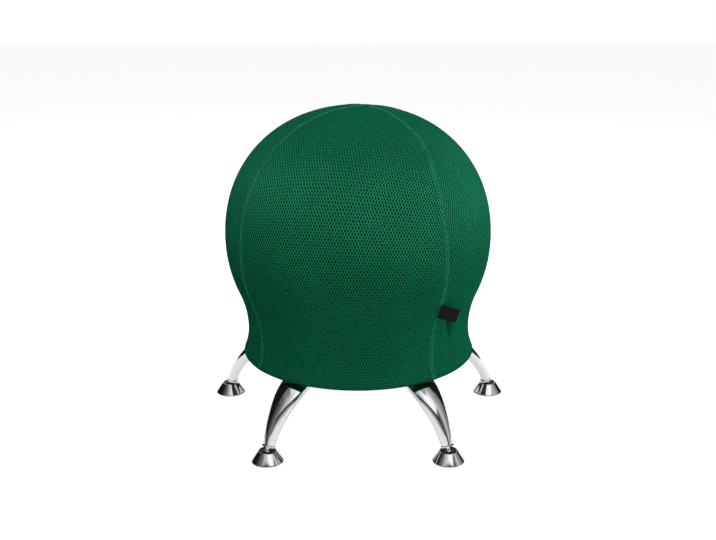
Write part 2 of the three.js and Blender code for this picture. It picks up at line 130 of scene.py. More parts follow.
# Cover outline: rim, flare, neck, waist, round of the ball and crown
COVER_THICKNESS = 3.0
RIM_FLARE = 9.6
NECK_RISE = 46.9
SWELL = 36.7
NECK_SHARE = 0.765
RIM_HEIGHT = SKIRT_BOTTOM - TOUCH_GAP - HEM_HEIGHT
NECK_RADIUS = NECK_SHARE * FOOT_CIRCLE
NECK_HEIGHT = RIM_HEIGHT + NECK_RISE
FLARE_RADIUS = (RIM_FLARE**2 + NECK_RISE**2) / (2 * RIM_FLARE)
WAIST_RADIUS = 184.4
WIDEST_RADIUS = NECK_RADIUS + SWELL
WAIST_MIDDLE = NECK_RADIUS + WAIST_RADIUS
WAIST_END = acos(WAIST_MIDDLE / (WIDEST_RADIUS + WAIST_RADIUS))
WIDEST_HEIGHT = NECK_HEIGHT + (WIDEST_RADIUS + WAIST_RADIUS) * sin(WAIST_END)
CROWN_RISE = 232.6
CROWN_FULLNESS = 2.14

# The cover's four gores, as first seam azimuth in degrees, width in degrees and mesh columns
GORES = ((-56.0, 94.5, 84), (38.5, 90.0, 80), (128.5, 87.75, 78), (216.25, 87.75, 78))
COLUMNS = sum(gore[2] for gore in GORES)

# Pitch of the cover's rows of faces, and the place beside the axis where its seams meet
OUTSIDE_PITCH, INSIDE_PITCH = 4.2, 24.0
SEWN_POLE = Vector((16, 17))
POLE_EASE = (140, 236)

# Holes of the mesh: pitches along and across the rows, a hole's half sizes and how the rows run
HOLE_PITCH, ROW_PITCH = 4.95, 5.2
HOLE_HALF_WIDTH, HOLE_HALF_HEIGHT = 1.35, 1.8
GORE_NARROWING = 0.13
ROW_SAG, SAG_START = 0.0017, 245

# Crease that runs down from the label tab, with azimuths in degrees
CREASE_AZIMUTH = 51.0
CREASE_FOOT, CREASE_BEND, CREASE_TOP = 188, 226, 256
CREASE_DEPTH, CREASE_BULGE = 4.5, 1.2
CROWD_PULL, CROWD_REACH, CROWD_LIMIT = 3.4, 9, 30

# Stitches, two rows to a seam
STITCH_PITCH = 4.2
STITCH_ASIDE = 2.6
STITCH_PROUD = 0.5
STITCH_HALF_SIZES = (0.45, 1.3, 0.34)
STITCH_SLANT = 12

# Label tape, folded at its outer end
TAPE_WIDTH = 28.5
TAPE_LENGTH = 36.0
TAPE_THICKNESS = 0.4
TAPE_CURL = 0.0022
TAPE_STEPS = 10
WARP_PITCH, WEFT_PITCH = 0.9, 0.7
TAB_SEAM = radians(38)
TAB_AZIMUTH = radians(98)
TAB_DROOP = radians(21)
TAB_RISE = 116.0
TAB_STAND_OFF = 0.75
TAB_SHIFT = 3.5


def stand(place):
    """Matrix that carries a piece drawn along +X, in metres, to its leg's place."""
    turn = (PLACES.index(place) + 0.5) * LEG_PITCH - pi / 2
    return Matrix.Translation(AXIS) @ Matrix.Rotation(turn, 4, "Z")


# Material nodes

def wired(tree, kind, inputs=None, **settings):
    """A new node with its settings made and its inputs set or linked."""
    node = tree.nodes.new(kind)
    for setting, value in settings.items():
        setattr(node, setting, value)
    for socket, value in (inputs or {}).items():
        if isinstance(value, bpy.types.NodeSocket):
            tree.links.new(value, node.inputs[socket])
        else:
            node.inputs[socket].default_value = value
    return node


def reckoned(tree, operation, *values):
    return wired(tree, "ShaderNodeMath", dict(enumerate(values)), operation=operation).outputs[0]


def times(tree, first, second):
    return reckoned(tree, "MULTIPLY", first, second)


def plus(tree, first, second):
    return reckoned(tree, "ADD", first, second)


def wave(tree, operation, value, rate):
    """Sine or cosine of a value times a rate."""
    return reckoned(tree, operation, times(tree, value, rate))


def eased(tree, value, low, high, to_low=0.0, to_high=1.0):
    inputs = {"Value": value, "From Min": low, "From Max": high, "To Min": to_low, "To Max": to_high}
    return wired(tree, "ShaderNodeMapRange", inputs, interpolation_type="SMOOTHSTEP").outputs[0]


def mixed(tree, share, first, second):
    """Colour between two others, each a socket or four levels."""
    return wired(tree, "ShaderNodeMix", {0: share, 6: first, 7: second}, data_type="RGBA").outputs[2]


def speckled(tree, scale, detail, stretch=(1, 1, 1)):
    """Noise over the piece's own Object coordinates, scale in cells to the metre."""
    where = wired(tree, "ShaderNodeTexCoord").outputs["Object"]
    mapping = wired(tree, "ShaderNodeMapping", {"Vector": where, "Scale": stretch})
    inputs = {"Vector": mapping.outputs[0], "Scale": scale, "Detail": detail}
    return wired(tree, "ShaderNodeTexNoise", inputs).outputs[0]


def laid(tree, layer):
    """The two coordinates of one of the mesh's own UV layers."""
    where = wired(tree, "ShaderNodeUVMap", uv_map=layer).outputs[0]
    parts = wired(tree, "ShaderNodeSeparateXYZ", {0: where})
    return parts.outputs[0], parts.outputs[1]


def kept(tree, attribute):
    return wired(tree, "ShaderNodeAttribute", attribute_name=attribute).outputs["Fac"]


def raised(tree, height, distance, strength):
    inputs = {"Height": height, "Distance": distance, "Strength": strength}
    return wired(tree, "ShaderNodeBump", inputs).outputs[0]


def linear(level):
    """Scene level of a screen level given from 0 to 255."""
    share = level / 255
    return share / 12.92 if share < 0.0404 else ((share + 0.055) / 1.055) ** 2.4


def screen(red, green, blue):
    """Opaque scene colour of a screen colour given from 0 to 255."""
    return linear(red), linear(green), linear(blue), 1


def finish(name, colour, roughness, metallic=0.0, specular=0.5):
    """A new material, with the values of its main shader, and its node tree."""
    material = bpy.data.materials.new(name)
    material.use_nodes = True
    inputs = material.node_tree.nodes["Principled BSDF"].inputs
    inputs["Base Color"].default_value = colour
    inputs["Roughness"].default_value = roughness
    inputs["Metallic"].default_value = metallic
    inputs["Specular IOR Level"].default_value = specular
    return material, material.node_tree


def dress(tree, colour=None, normal=None, roughness=None):
    """Links what varies over a surface to the main shader."""
    inputs = tree.nodes["Principled BSDF"].inputs
    for socket, value in (("Base Color", colour), ("Normal", normal), ("Roughness", roughness)):
        if value is not None:
            tree.links.new(value, inputs[socket])


# Greens of the mesh: its body low, painted lighter against the shade under the ball's bulge, and high;
# the ribs' painted highlight; the holes; the seams; and the painted shade of the crease and the hem's
# edge
LIGHTENED_LOWER_GREEN, UPPER_GREEN = screen(9, 88, 56), screen(5, 76, 48)
RIB_HIGHLIGHT_GREEN = screen(46, 152, 112)
CLOUD_GREEN = screen(6, 74, 48)
YARN_GREEN = screen(7, 77, 50)
SLACK_HOLE, DRAWN_HOLE = screen(4, 62, 38), screen(0, 34, 19)
SEAM_GREEN = screen(36, 126, 92)
PAINTED_SHADE_GREEN = screen(2, 36, 21)

# Heights in metres over which the mesh changes from the hem upwards
LOWER_DRAW, UPPER_DRAW = (0.23, 0.4), (0.47, 0.56)
LIGHTENING_CHANGE = (0.25, 0.32)
RIB_HIGHLIGHT_CHANGE = (0.34, 0.47)


def mesh_fabric():
    """Knitted mesh: rows of upright oval holes, set off by half a pitch, over a darker backing."""
    material, tree = finish("green_mesh_fabric", screen(14, 100, 68), 0.62, specular=0.0)
    where = wired(tree, "ShaderNodeTexCoord").outputs["Object"]
    height = wired(tree, "ShaderNodeSeparateXYZ", {0: where}).outputs[2]

    # Place within the lattice of holes, whose rows and columns waver a little
    straight_across, straight_up = laid(tree, "lattice")
    across = reckoned(tree, "MULTIPLY_ADD", speckled(tree, 70, 1), 0.5, straight_across)
    up = reckoned(tree, "MULTIPLY_ADD", speckled(tree, 80, 1), 0.4, straight_up)
    row = reckoned(tree, "ROUND", up)
    half = times(tree, reckoned(tree, "FLOORED_MODULO", row, 2.0), 0.5)
    column = plus(tree, across, half)
    aside = reckoned(tree, "SUBTRACT", column, reckoned(tree, "ROUND", column))
    above = reckoned(tree, "SUBTRACT", up, row)
    x = times(tree, aside, HOLE_PITCH / HOLE_HALF_WIDTH)
    y = times(tree, above, ROW_PITCH / HOLE_HALF_HEIGHT)
    flat = wired(tree, "ShaderNodeCombineXYZ", {0: x, 1: y}).outputs[0]
    reach = wired(tree, "ShaderNodeVectorMath", {0: flat}, operation="LENGTH").outputs["Value"]

    # Holes of uneven width, ribs of yarn between them and the yarn's own loops and fibres
    uneven = eased(tree, speckled(tree, 170, 1), 0.35, 0.65, 0.75, 1.2)
    knit = eased(tree, reach, times(tree, uneven, 0.55), times(tree, uneven, 1.15))
    crossing = times(tree, wave(tree, "COSINE", aside, 2 * pi), wave(tree, "COSINE", above, pi))
    beside_holes = eased(tree, reach, 1.0, 1.6, 0.0, 0.5)
    rib = plus(tree, eased(tree, crossing, 0.2, -0.95, 0.0, 0.5), beside_holes)
    loops = times(tree, wave(tree, "COSINE", across, 8 * pi), wave(tree, "COSINE", up, 6 * pi))
    yarn = speckled(tree, 1400, 3)

    # The mesh is drawn tightest round the middle of the ball; its ribs take a painted highlight,
    # strongest high on the ball where the light falls
    lower_draw = eased(tree, height, *LOWER_DRAW, 0.42, 1.0)
    upper_draw = eased(tree, height, *UPPER_DRAW, 1.0, 0.45)
    drawn = times(tree, lower_draw, upper_draw)
    rib_highlight = times(tree, drawn, eased(tree, height, *RIB_HIGHLIGHT_CHANGE, 0.6, 1.0))
    # Painted light: below the waist the body is lighter, against the shade where the fabric faces down
    base = mixed(tree, eased(tree, height, *LIGHTENING_CHANGE), LIGHTENED_LOWER_GREEN, UPPER_GREEN)
    body = mixed(tree, times(tree, rib, rib_highlight), base, RIB_HIGHLIGHT_GREEN)
    body = mixed(tree, eased(tree, speckled(tree, 9, 2), 0.3, 0.7, 0.0, 0.25), body, CLOUD_GREEN)
    body = mixed(tree, eased(tree, yarn, 0.35, 0.65, 0.0, 0.3), body, YARN_GREEN)
    hole = mixed(tree, drawn, SLACK_HOLE, DRAWN_HOLE)

    # The seams close the holes; painted shade darkens the crease under the label tab and the hem's
    # lower edge
    sewn = eased(tree, kept(tree, "seam"), 2.6, 4.2, 1.0, 0.0)
    colour = mixed(tree, reckoned(tree, "MAXIMUM", knit, times(tree, sewn, 0.6)), hole, body)
    colour = mixed(tree, times(tree, sewn, 0.12), colour, SEAM_GREEN)
    edge = eased(tree, height, (RIM_HEIGHT + 0.5) * MM, (RIM_HEIGHT + 5) * MM, 0.65, 0.0)
    colour = mixed(tree, reckoned(tree, "MAXIMUM", kept(tree, "fold"), edge), colour, PAINTED_SHADE_GREEN)

    fine = plus(tree, times(tree, loops, 0.12), times(tree, yarn, 0.25))
    relief = plus(tree, plus(tree, knit, times(tree, rib, 0.35)), fine)
    dress(tree, colour, raised(tree, relief, 0.0007, 0.8), eased(tree, yarn, 0.3, 0.7, 0.55, 0.7))
    return material


def chrome():
    """Polished chrome plate with faint handling marks, dust and a trace of orange peel."""
    material, tree = finish("polished_chrome", (0.7, 0.705, 0.715, 1), 0.05, metallic=1.0)
    smear = speckled(tree, 28, 4, (1, 1, 0.35))
    dust = eased(tree, speckled(tree, 700, 5), 0.55, 0.75, 0.0, 0.35)
    tint = mixed(tree, dust, (0.71, 0.715, 0.725, 1), (0.6, 0.605, 0.62, 1))
    peel = raised(tree, speckled(tree, 160, 2), 0.00006, 0.5)
    dress(tree, tint, peel, eased(tree, smear, 0.35, 0.75, 0.035, 0.11))
    return material


def plated_steel():
    """Zinc-plated steel with a satin, slightly mottled skin."""
    material, tree = finish("zinc_plated_steel", (0.55, 0.56, 0.58, 1), 0.34, metallic=1.0)
    mottle = speckled(tree, 240, 4)
    tint = mixed(tree, mottle, (0.46, 0.47, 0.5, 1), (0.64, 0.65, 0.66, 1))
    grain = raised(tree, speckled(tree, 900, 2), 0.00005, 0.4)
    dress(tree, tint, grain, eased(tree, mottle, 0.3, 0.7, 0.26, 0.42))
    return material


def moulded(name, colour, roughness, grain, depth):
    """Moulded plastic or rubber, its grain in cells to the metre and its depth in metres."""
    material, tree = finish(name, colour, roughness)
    spots = speckled(tree, grain, 3)
    worn = eased(tree, speckled(tree, 35, 4), 0.45, 0.75, 0.0, 0.5)
    pale = tuple(min(level * 1.5 + 0.006, 1) for level in colour)
    matt = eased(tree, spots, 0.3, 0.7, roughness - 0.08, roughness + 0.1)
    dress(tree, mixed(tree, worn, colour, pale), raised(tree, spots, depth, 0.6), matt)
    return material


def woven_tape():
    """Black woven tape with a fine plain weave."""
    material, tree = finish("black_woven_tape", screen(17, 18, 20), 0.7, specular=0.08)
    along, across = laid(tree, "tape")
    warp = wave(tree, "SINE", along, 2 * pi / WARP_PITCH)
    weave = times(tree, warp, wave(tree, "SINE", across, 2 * pi / WEFT_PITCH))
    tint = mixed(tree, eased(tree, weave, -0.6, 0.8), screen(14, 13, 14), screen(32, 29, 32))
    dress(tree, tint, raised(tree, weave, 0.00015, 0.7))
    return material


def braided_cord():
    """Black elastic with a braided sheath."""
    material, tree = finish("braided_elastic", screen(24, 24, 25), 0.8)
    along, round_it = laid(tree, "braid")
    one = reckoned(tree, "SINE", plus(tree, along, round_it))
    other = reckoned(tree, "SINE", reckoned(tree, "SUBTRACT", along, round_it))
    braid = reckoned(tree, "MAXIMUM", one, other)
    tint = mixed(tree, eased(tree, braid, 0.0, 1.0), screen(12, 12, 12), screen(44, 44, 46))
    dress(tree, tint, raised(tree, braid, 0.0003, 0.7))
    return material


def stitching_thread():
    material, tree = finish("green_thread", screen(60, 160, 122), 0.7, specular=0.1)
    dress(tree, mixed(tree, speckled(tree, 2600, 2), screen(44, 146, 108), screen(84, 182, 144)))
    return material


MESH_FABRIC = mesh_fabric()
CHROME = chrome()
ZINC = plated_steel()
NYLON = moulded("black_nylon", screen(22, 23, 25), 0.42, 900, 0.00005)
RUBBER = moulded("dark_rubber", screen(28, 28, 29), 0.72, 1200, 0.00008)
PAN_PLASTIC = moulded("grained_black_plastic", screen(30, 31, 33), 0.55, 1600, 0.0001)
VINYL = moulded("grey_vinyl", screen(140, 146, 150), 0.45, 500, 0.00006)
PLUG_PLASTIC = moulded("white_plug_plastic", screen(228, 228, 222), 0.45, 700, 0.00004)
TAPE = woven_tape()
ELASTIC = braided_cord()
THREAD = stitching_thread()


# Mesh making

MERGE = 1e-6
BEVEL_ANGLE = radians(30)


def linked(name, data):
    """A new object of the scene."""
    made = bpy.data.objects.new(name, data)
    bpy.context.scene.collection.objects.link(made)
    return made


def shown(name, bm, material):
    """Turns a finished bmesh, in metres and in place, into an object of the scene."""
    mesh = bpy.data.meshes.new(name)
    bm.to_mesh(mesh)
    bm.free()
    mesh.materials.append(material)
    return linked(name, mesh)


def piece(name, bm, material, body, slot, *nodes, crease=35):
    """Shows a smooth piece that rides on its body; edges are sharp beyond a crease in degrees."""
    made = shown(name, bm, material)
    made.data.shade_smooth()
    if crease:
        made.data.set_sharp_from_angle(angle=radians(crease))
    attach(made, body)
    if nodes:
        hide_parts(*nodes)
    return made


def traced(bm, outline, closed=False):
    """Vertices and edges of an outline of (radius, height) points in millimetres."""
    corners = [bm.verts.new((radius * MM, 0, height * MM)) for radius, height in outline]
    pairs = list(zip(corners, corners[1:]))
    if closed:
        pairs.append((corners[-1], corners[0]))
    return corners, [bm.edges.new(pair) for pair in pairs]


def facing_out(bm):
    bmesh.ops.recalc_face_normals(bm, faces=bm.faces[:])


def spun(bm, corners, lines, facets):
    """Spins a traced outline about +Z into a closed skin that faces outwards."""
    bmesh.ops.spin(
        bm, geom=corners + lines, cent=(0, 0, 0), axis=(0, 0, 1), angle=2 * pi,
        steps=facets, use_merge=True,
    )
    bmesh.ops.remove_doubles(bm, verts=bm.verts[:], dist=MERGE)
    facing_out(bm)


def turned(outline, facets, closed=False):
    """Bmesh of an outline of (radius, height) points in millimetres, spun about +Z."""
    bm = bmesh.new()
    corners, lines = traced(bm, outline, closed)
    spun(bm, corners, lines, facets)
    return bm


def bevelled(bm, width):
    """Rounds the edges that turn by more than the bevel angle."""
    sharp = [edge for edge in bm.edges if edge.is_manifold and edge.calc_face_angle(0) > BEVEL_ANGLE]
    bmesh.ops.bevel(
        bm, geom=sharp, offset=width * MM, offset_type="OFFSET", segments=3, profile=0.5,
        affect="EDGES", clamp_overlap=True, material=-1,
    )
    return bm


def extruded(bm, line):
    """Extrudes a line of edges in place; returns the new line's vertices and edges."""
    grown = bmesh.ops.extrude_edge_only(bm, edges=line)["geom"]
    fresh = [part for part in grown if isinstance(part, bmesh.types.BMVert)]
    edges = [part for part in grown if isinstance(part, bmesh.types.BMEdge)]
    return fresh, [edge for edge in edges if all(vert in fresh for vert in edge.verts)]


def threaded(rings, facets, closed=False):
    """Bmesh of a unit circle carried through ring matrices, capped at its ends or joined up."""
    bm = bmesh.new()
    bmesh.ops.create_circle(bm, segments=facets, radius=1, matrix=rings[0])
    start = bm.edges[:]
    rim = start
    for before, after in zip(rings, rings[1:]):
        fresh, rim = extruded(bm, rim)
        bmesh.ops.transform(bm, matrix=after @ before.inverted(), verts=fresh)
    if closed:
        bmesh.ops.bridge_loops(bm, edges=start + rim)
    else:
        bmesh.ops.edgeloop_fill(bm, edges=start)
        bmesh.ops.edgeloop_fill(bm, edges=rim)
    facing_out(bm)
    return bm


def moved(bm, matrix):
    bmesh.ops.transform(bm, matrix=matrix, verts=bm.verts[:])
    return bm


def centred(bm):
    """Moves a bmesh to the chair's upright axis."""
    return moved(bm, Matrix.Translation(AXIS))


def at_radius(bm, radius, place):
    """Moves a bmesh drawn about +Z out along a leg, by a radius in millimetres."""
    return moved(bm, stand(place) @ Matrix.Translation((radius * MM, 0, 0)))


# Legs

def section(x, height, lean, width, thickness):
    """Matrix from the unit circle to an oval ring across the leg, which runs in an upright plane."""
    outwards = Vector((cos(lean), 0, sin(lean)))
    sideways = Vector((0, 1, 0))
    along = sideways.cross(outwards) * thickness / 2
    columns = (sideways * width / 2, outwards * thickness / 2, along, Vector((x, 0, height)))
    rows = [[part * MM for part in row] for row in zip(*columns)]
    return Matrix([*rows, (0, 0, 0, 1)])


def taper_share(lean):
    """How far the leg has swollen, from 0 at the foot to 1 at the root, levelling off smoothly."""
    share = (lean - FOOT_LEAN) / (ROOT_LEAN - FOOT_LEAN)
    left = max(1 + TAPER_EASE - share, 0)
    return share if share < 1 - TAPER_EASE else 1 - left**2 / (4 * TAPER_EASE)


def leg_section(lean, inset=0.0):
    """Oval ring of the leg where its outer side leans by this angle, drawn in by an inset."""
    grown = taper_share(lean)
    width = FOOT_WIDTH * (ROOT_WIDTH / FOOT_WIDTH) ** grown - 2 * inset
    thickness = FOOT_THICKNESS * (ROOT_THICKNESS / FOOT_THICKNESS) ** grown - 2 * inset
    x = ARC_CENTRE + ARC_RADIUS * cos(lean)
    return section(x, ARC_HEIGHT + ARC_RADIUS * sin(lean), lean, width, thickness)


def level_section(x, inset=0.0):
    """Oval ring of the leg's level run, at a distance from the chair's axis."""
    return section(x, LEVEL_HEIGHT, pi / 2, ROOT_WIDTH - 2 * inset, ROOT_THICKNESS - 2 * inset)


def leg(place):
    """Oval tube, swelling from the foot to the root, with a small lip at the foot."""
    leans = [FOOT_LEAN + (pi / 2 - FOOT_LEAN) * i / LEG_RINGS for i in range(LEG_RINGS + 1)]
    outside = [leg_section(FOOT_LEAN, LEG_LIP)] + [leg_section(lean) for lean in leans]
    shares = (0.25, 0.5, 0.75, 1)
    level = [level_section(ARC_CENTRE + (LEG_INNER_END - ARC_CENTRE) * share) for share in shares]
    inside = [level_section(LEG_INNER_END, LEG_WALL)]
    inside += [leg_section(lean, LEG_WALL) for lean in reversed(leans[::4])]
    bm = moved(threaded(outside + level + inside, facets=56, closed=True), stand(place))
    piece(f"leg_tube_{place}", bm, CHROME, "stool", "chrome", f"leg_{place}", crease=50)


def leg_end_cap(place):
    """Plastic plug in the tube's inner end, with a domed face."""
    back = LEG_INNER_END - TOUCH_GAP
    tip = BOLT_CIRCLES[0] - BOLT_RADIUS - TOUCH_GAP - CAP_PLUG_CLEARANCE
    plug = LEG_WALL + TOUCH_GAP
    shapes = ((back - CAP_THICKNESS, 1.6), (back - 2.2, 0.6), (back - 1.5, 0.1), (back, 0))
    shapes += ((back, plug), (tip + 1, plug), (tip, 3))
    bm = moved(threaded([level_section(x, inset) for x, inset in shapes], facets=48), stand(place))
    piece(f"tube_cap_{place}", bm, NYLON, "stool", "black_nylon", f"leg_end_cap_{place}", crease=40)


def leg_bolt(place, number):
    """Button-head bolt with a recess for its key, up through the tube into the pan."""
    seat = LEVEL_HEIGHT - ROOT_THICKNESS / 2 - TOUCH_GAP
    under = seat - BOLT_HEAD_HEIGHT
    tip = PAN_UNDERSIDE + BOLT_GRIP
    outline = [(0, under), (4.2, under), (5.8, under + 0.45), (6.8, under + 1.5)]
    outline += [(BOLT_HEAD_RADIUS, under + 3), (BOLT_HEAD_RADIUS, seat), (BOLT_RADIUS, seat)]
    outline += [(BOLT_RADIUS, tip - 0.8), (BOLT_RADIUS - 0.8, tip), (0, tip)]
    bm = turned(outline, facets=36)
    sliver, key_inset, key_depth = 0.01 * MM, 1.4 * MM, 2.4 * MM
    flat = [face for face in bm.faces if face.calc_center_median().z < under * MM + sliver]
    bmesh.ops.inset_region(bm, faces=flat, thickness=key_inset, use_even_offset=True)
    bmesh.ops.inset_region(bm, faces=flat, thickness=sliver, use_even_offset=True)
    key = {vert for face in flat for vert in face.verts}
    bmesh.ops.translate(bm, vec=(0, 0, key_depth), verts=list(key))
    facing_out(bm)
    at_radius(bm, BOLT_CIRCLES[number - 1], place)
    which = f"{place}_{number}"
    piece(f"button_bolt_{which}", bm, ZINC, "stool", "zinc_steel", f"leg_bolt_{which}")


# Glides

def stem_section(distance, width, thickness):
    """Oval ring across the stem at a distance from the middle of the ball joint."""
    x = FOOT_CIRCLE - distance * sin(FOOT_LEAN)
    return section(x, JOINT_HEIGHT + distance * cos(FOOT_LEAN), FOOT_LEAN, width, thickness)


def plug_section(distance):
    """Ring of the plug in the leg's foot, which follows the leg's arc."""
    bend = max(distance - LEG_SEAT, 0) ** 2 / (2 * ARC_RADIUS)
    shift = Matrix.Translation((-bend * cos(FOOT_LEAN) * MM, 0, -bend * sin(FOOT_LEAN) * MM))
    fit = 2 * (LEG_WALL + TOUCH_GAP)
    return shift @ stem_section(distance, FOOT_WIDTH - fit, FOOT_THICKNESS - fit)


def foot_collar(place):
    """Collar between the leg and the glide, with its plug up inside the tube."""
    top = LEG_SEAT - TOUCH_GAP
    shapes = [(COLLAR_SEAT, 11.4), (COLLAR_SEAT, 12.2), (10.5, 12.55)]
    shapes += [(12.6, 12.6), (13, 12.4), (top, 12)]
    collar = [stem_section(distance, 2 * radius, 2 * radius) for distance, radius in shapes]
    plug = [plug_section(distance) for distance in (top, top + 0.6, 20, PLUG_END)]
    bm = moved(threaded(collar + plug, facets=48), stand(place))
    piece(f"foot_collar_{place}", bm, CHROME, "stool", "chrome", f"foot_insert_{place}", crease=40)


def glide_stem(place):
    """Stem whose neck goes down to the ball in the glide's socket."""
    turns = [(pi - asin(STEM_NECK_RADIUS / JOINT_BALL_RADIUS)) * i / 14 for i in range(15)]
    outline = [(JOINT_BALL_RADIUS * sin(turn), -JOINT_BALL_RADIUS * cos(turn)) for turn in turns]
    outline += [(STEM_NECK_RADIUS, 8.0), (STEM_NECK_RADIUS + 0.25, 9.4), (STEM_RADIUS, 10.4)]
    outline += [(STEM_RADIUS, STEM_LENGTH - 0.7), (STEM_RADIUS - 0.7, STEM_LENGTH), (0, STEM_LENGTH)]
    joint = Matrix.Translation((FOOT_CIRCLE * MM, 0, JOINT_HEIGHT * MM))
    bm = moved(turned(outline, facets=32), stand(place) @ joint @ Matrix.Rotation(-FOOT_LEAN, 4, "Y"))
    piece(f"ball_stem_{place}", bm, CHROME, "stool", "zinc_steel", f"glide_stem_{place}")


def bell(place):
    """Chromed bell shell: rolled lower edge, straight flank and a rounded mouth."""
    outline = [
        (27.2, BELL_BASE), (28.3, 0.85), (28.75, 1.3), (28.8, 2.2), (28.5, 2.9), (27.7, 4.0),
        (16.5, 20.1), (15.9, 20.75), (15.2, 21.0), (14.5, 20.8), (14.1, 20.2),
        (25.1, 4.4), (26.3, 2.6), (26.9, 1.2),
    ]
    bm = at_radius(turned(outline, facets=72, closed=True), FOOT_CIRCLE, place)
    piece(f"glide_bell_{place}", bm, CHROME, f"foot_{place}", "chrome", f"bell_{place}", crease=50)


def floor_pad(place):
    """Rubber pad with a rounded edge and three grip rings."""
    groove = 0.35
    outline = [(0, groove), (6, groove), (6.6, 0), (11, 0), (11.6, groove), (12.6, groove), (13.2, 0)]
    outline += [(17.6, 0), (18.2, groove), (19.2, groove), (19.8, 0), (25.1, 0)]
    outline += [(25.7, 0.2), (25.95, 0.7), (25.9, 2.1), (0, 2.1)]
    bm = at_radius(turned(outline, facets=64), FOOT_CIRCLE, place)
    piece(f"rubber_pad_{place}", bm, RUBBER, f"foot_{place}", "pad_rubber", f"floor_pad_{place}")


def glide_socket(place):
    """Nylon socket that fills the bell under its mouth and grips the ball."""
    reach = JOINT_BALL_RADIUS + RUNNING_GAP
    turns = [SOCKET_MOUTH + (pi - SOCKET_MOUTH) * i / 14 for i in range(15)]
    cup = [(reach * sin(turn), JOINT_HEIGHT + reach * cos(turn)) for turn in turns]
    lip, mouth = cup[0]
    flank = [(0, 2.4), (25.9, 2.4), (15.2, 17.9), (14.6, 18.3)]
    shoulder = [(lip + 2.6, mouth + 0.1), (lip + 1.2, mouth + 0.5)]
    bm = at_radius(turned(flank + shoulder + cup, facets=48), FOOT_CIRCLE, place)
    piece(f"nylon_socket_{place}", bm, NYLON, f"socket_{place}", "black_nylon", f"glide_socket_{place}")


# Seat pan

def skirt_radius(height, inset):
    """Radius of the cover below its neck, drawn in by an inset."""
    return NECK_RADIUS + FLARE_RADIUS - sqrt((FLARE_RADIUS + inset) ** 2 - (NECK_HEIGHT - height) ** 2)


COVER_FIT = COVER_THICKNESS + TOUCH_GAP
RIM_INNER = skirt_radius(PAN_TOP, COVER_FIT) - PAN_RIM_WALL


def pan_rim():
    """Rim round the disc, with a ledge under it and a skirt that turns down."""
    ledge = PAN_UNDERSIDE - TOUCH_GAP
    ledge_inner = RIM_INNER - TOUCH_GAP - PAN_LEDGE_WIDTH
    skirt_inner = skirt_radius(SKIRT_BOTTOM, COVER_FIT) - PAN_RIM_WALL
    heights = (SKIRT_BOTTOM, 146, 151, 156, PAN_TOP - 3)
    outline = [(skirt_radius(height, COVER_FIT), height) for height in heights]
    ledge_bottom = ledge - PAN_LEDGE_THICKNESS
    outline += [(RIM_INNER + 2, PAN_TOP), (RIM_INNER, PAN_TOP), (RIM_INNER, ledge)]
    outline += [(ledge_inner, ledge), (ledge_inner, ledge_bottom)]
    outline += [(skirt_inner, ledge_bottom), (skirt_inner, SKIRT_BOTTOM)]
    bm = centred(bevelled(turned(outline, facets=128, closed=True), PAN_ROUND))
    piece("moulded_pan_rim", bm, PAN_PLASTIC, "stool", "pan_plastic", "pan_rim")


def pan_disc():
    """Disc inside the rim, which the legs are bolted to."""
    radius = RIM_INNER - TOUCH_GAP
    outline = [(0, PAN_UNDERSIDE), (radius, PAN_UNDERSIDE), (radius, PAN_TOP), (0, PAN_TOP)]
    bm = centred(bevelled(turned(outline, facets=128), PAN_ROUND))
    piece("moulded_pan", bm, PAN_PLASTIC, "stool", "pan_plastic", "seat_pan")


def hem_cord():
    """Elastic cord in the hem's channel, with UV that follows its braid."""
    middle_radius = NECK_RADIUS + HEM_CHANNEL - TOUCH_GAP - CORD_RADIUS
    middle_height = RIM_HEIGHT + HEM_HEIGHT / 2
    turns = [2 * pi * i / 12 for i in range(12)]
    offsets = [(CORD_RADIUS * cos(turn), CORD_RADIUS * sin(turn)) for turn in turns]
    outline = [(middle_radius + out, middle_height + up) for out, up in offsets]
    bm = turned(outline, facets=200, closed=True)
    layer = bm.loops.layers.uv.new("braid")
    for face in bm.faces:
        turn = atan2(face.calc_center_median().y, face.calc_center_median().x)
        for loop in face.loops:
            x, y, z = loop.vert.co
            around = atan2(y, x)
            around += 2 * pi * round((turn - around) / (2 * pi))
            lap = atan2(z / MM - middle_height, hypot(x, y) / MM - middle_radius)
            loop[layer].uv = (around * BRAID_WAVES, lap * BRAID_STRANDS)
    piece("elastic_cord", centred(bm), ELASTIC, "stool", "cord_rubber", "hem_cord")


# Cover outline

def crown_height(radius, inset):
    """Height of the crown over a distance from the axis."""
    share = min(radius / (WIDEST_RADIUS - inset), 1.0)
    return WIDEST_HEIGHT + (CROWN_RISE - inset) * (1 - share**CROWN_FULLNESS) ** (1 / CROWN_FULLNESS)


def outline_of(inset, lowest):
    """Points (radius, height) of the cover's outline from the top down, closely spaced."""
    power = 2 / CROWN_FULLNESS
    radius, rise = WIDEST_RADIUS - inset, CROWN_RISE - inset
    hollow = WAIST_RADIUS + inset
    crown_steps, steps = 400, 40
    points = [(0.0, WIDEST_HEIGHT + rise)]
    for i in range(1, crown_steps + 1):
        a = pi / 2 * (1 - i / crown_steps)
        points.append((radius * cos(a) ** power, WIDEST_HEIGHT + rise * sin(a) ** power))
    for i in range(1, steps + 1):
        a = WAIST_END * i / steps
        points.append((radius * cos(a), WIDEST_HEIGHT - radius * sin(a)))
    for i in range(1, steps + 1):
        a = WAIST_END * (1 - i / steps)
        points.append((WAIST_MIDDLE - hollow * cos(a), NECK_HEIGHT + hollow * sin(a)))
    for i in range(1, steps + 1):
        height = NECK_HEIGHT + (lowest - NECK_HEIGHT) * i / steps
        points.append((skirt_radius(height, inset), height))
    return points


